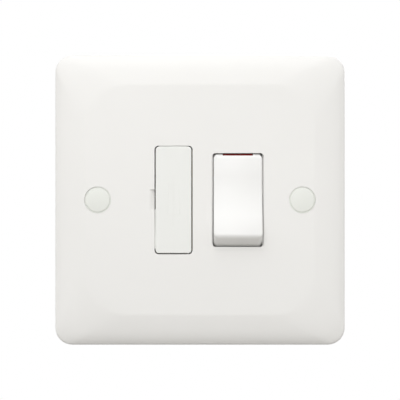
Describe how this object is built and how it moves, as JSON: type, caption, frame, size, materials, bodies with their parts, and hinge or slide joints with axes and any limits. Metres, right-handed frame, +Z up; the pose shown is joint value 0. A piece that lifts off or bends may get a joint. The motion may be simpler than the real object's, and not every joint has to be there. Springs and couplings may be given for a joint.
{
  "type": "switched fused connection unit",
  "caption": "Single-gang white moulded wall unit with a double-pole rocker switch and a flush pull-out fuse carrier, terminals behind.",
  "frame": {"origin": "centre of the faceplate on the wall plane, where the rim meets the wall", "axes": "+Z up, +X to the right seen from the front, +Y into the wall; the front faces -Y"},
  "size_m": [0.086, 0.0339, 0.086],
  "materials": {
    "faceplate_moulding": "smooth satin-gloss white moulding",
    "carrier_moulding": "smooth satin-gloss white moulding",
    "rocker_moulding": "polished white moulding",
    "cap_moulding": "satin off-white moulding",
    "red_flash": "red moulded inlay",
    "housing_moulding": "matt white moulding",
    "brass": "bright stamped brass",
    "plated_steel": "zinc plated",
    "nickel_plate": "nickel plated",
    "ceramic": "unglazed off-white",
    "silver": "bright silver alloy"
  },
  "bodies": {
    "base": {"faceplate": "faceplate_moulding", "rear_housing": "housing_moulding", "fulcrum_line": "brass", "fulcrum_neutral": "brass", "fixed_tip_line": "silver", "fixed_tip_neutral": "silver", "neutral_fixed_contact": "brass", "upper_fuse_contact": "brass", "lower_fuse_contact": "brass", "load_line_link": "brass", "earth_link": "brass", "terminal_neutral_in": "brass", "terminal_line_in": "brass", "terminal_earth_in": "brass", "terminal_neutral_out": "brass", "terminal_earth_out": "brass", "terminal_line_out": "brass", "terminal_screw_neutral_in": "plated_steel", "terminal_screw_line_in": "plated_steel", "terminal_screw_earth_in": "plated_steel", "terminal_screw_neutral_out": "plated_steel", "terminal_screw_earth_out": "plated_steel", "terminal_screw_line_out": "plated_steel", "fixing_screw_left": "plated_steel", "fixing_screw_right": "plated_steel", "housing_screw_upper_left": "plated_steel", "housing_screw_upper_right": "plated_steel", "housing_screw_lower_left": "plated_steel", "housing_screw_lower_right": "plated_steel"},
    "rocker": {"rocker": "rocker_moulding", "rocker_on_flash": "red_flash", "plunger_spring_line": "plated_steel", "plunger_spring_neutral": "plated_steel"},
    "plunger_line": {"plunger_line": "brass"},
    "plunger_neutral": {"plunger_neutral": "brass"},
    "blade_line": {"contact_blade_line": "brass", "moving_tip_line": "silver"},
    "blade_neutral": {"contact_blade_neutral": "brass", "moving_tip_neutral": "silver"},
    "carrier": {"fuse_carrier": "carrier_moulding", "fuse_tube": "ceramic", "fuse_cap_upper": "nickel_plate", "fuse_cap_lower": "nickel_plate"},
    "cap_left": {"screw_cap_left": "cap_moulding"},
    "cap_right": {"screw_cap_right": "cap_moulding"}
  },
  "joints": [
    {"name": "rocker_tilt", "type": "hinge", "parent": "base", "child": "rocker", "pos_m": [0.01116, -0.003, 0], "axis": [1, 0, 0], "range_deg": [0, 18]},
    {"name": "plunger_line_slide", "type": "slide", "parent": "rocker", "child": "plunger_line", "axis": [0, -0.9877, 0.1564], "range_m": [0, 0.0009], "stiffness_N_per_m": 150, "springref_m": -0.002, "deforming": ["plunger_spring_line"]},
    {"name": "plunger_neutral_slide", "type": "slide", "parent": "rocker", "child": "plunger_neutral", "axis": [0, -0.9877, 0.1564], "range_m": [0, 0.0009], "stiffness_N_per_m": 150, "springref_m": -0.002, "deforming": ["plunger_spring_neutral"]},
    {"name": "blade_line_rock", "type": "hinge", "parent": "base", "child": "blade_line", "pos_m": [0.00756, 0.01063, 0], "axis": [1, 0, 0], "range_deg": [-18, 0]},
    {"name": "blade_neutral_rock", "type": "hinge", "parent": "base", "child": "blade_neutral", "pos_m": [0.01476, 0.01063, 0], "axis": [1, 0, 0], "range_deg": [-18, 0]},
    {"name": "carrier_slide", "type": "slide", "parent": "base", "child": "carrier", "axis": [0, -1, 0], "range_m": [0, 0.016]},
    {"name": "cap_left_slide", "type": "slide", "parent": "base", "child": "cap_left", "axis": [0, -1, 0], "range_m": [0, 0.004]},
    {"name": "cap_right_slide", "type": "slide", "parent": "base", "child": "cap_right", "axis": [0, -1, 0], "range_m": [0, 0.004]}
  ],
  "couplings": [
    {"joint": "blade_line_rock", "follows": "rocker_tilt", "ratio": -1},
    {"joint": "blade_neutral_rock", "follows": "rocker_tilt", "ratio": -1}
  ]
}
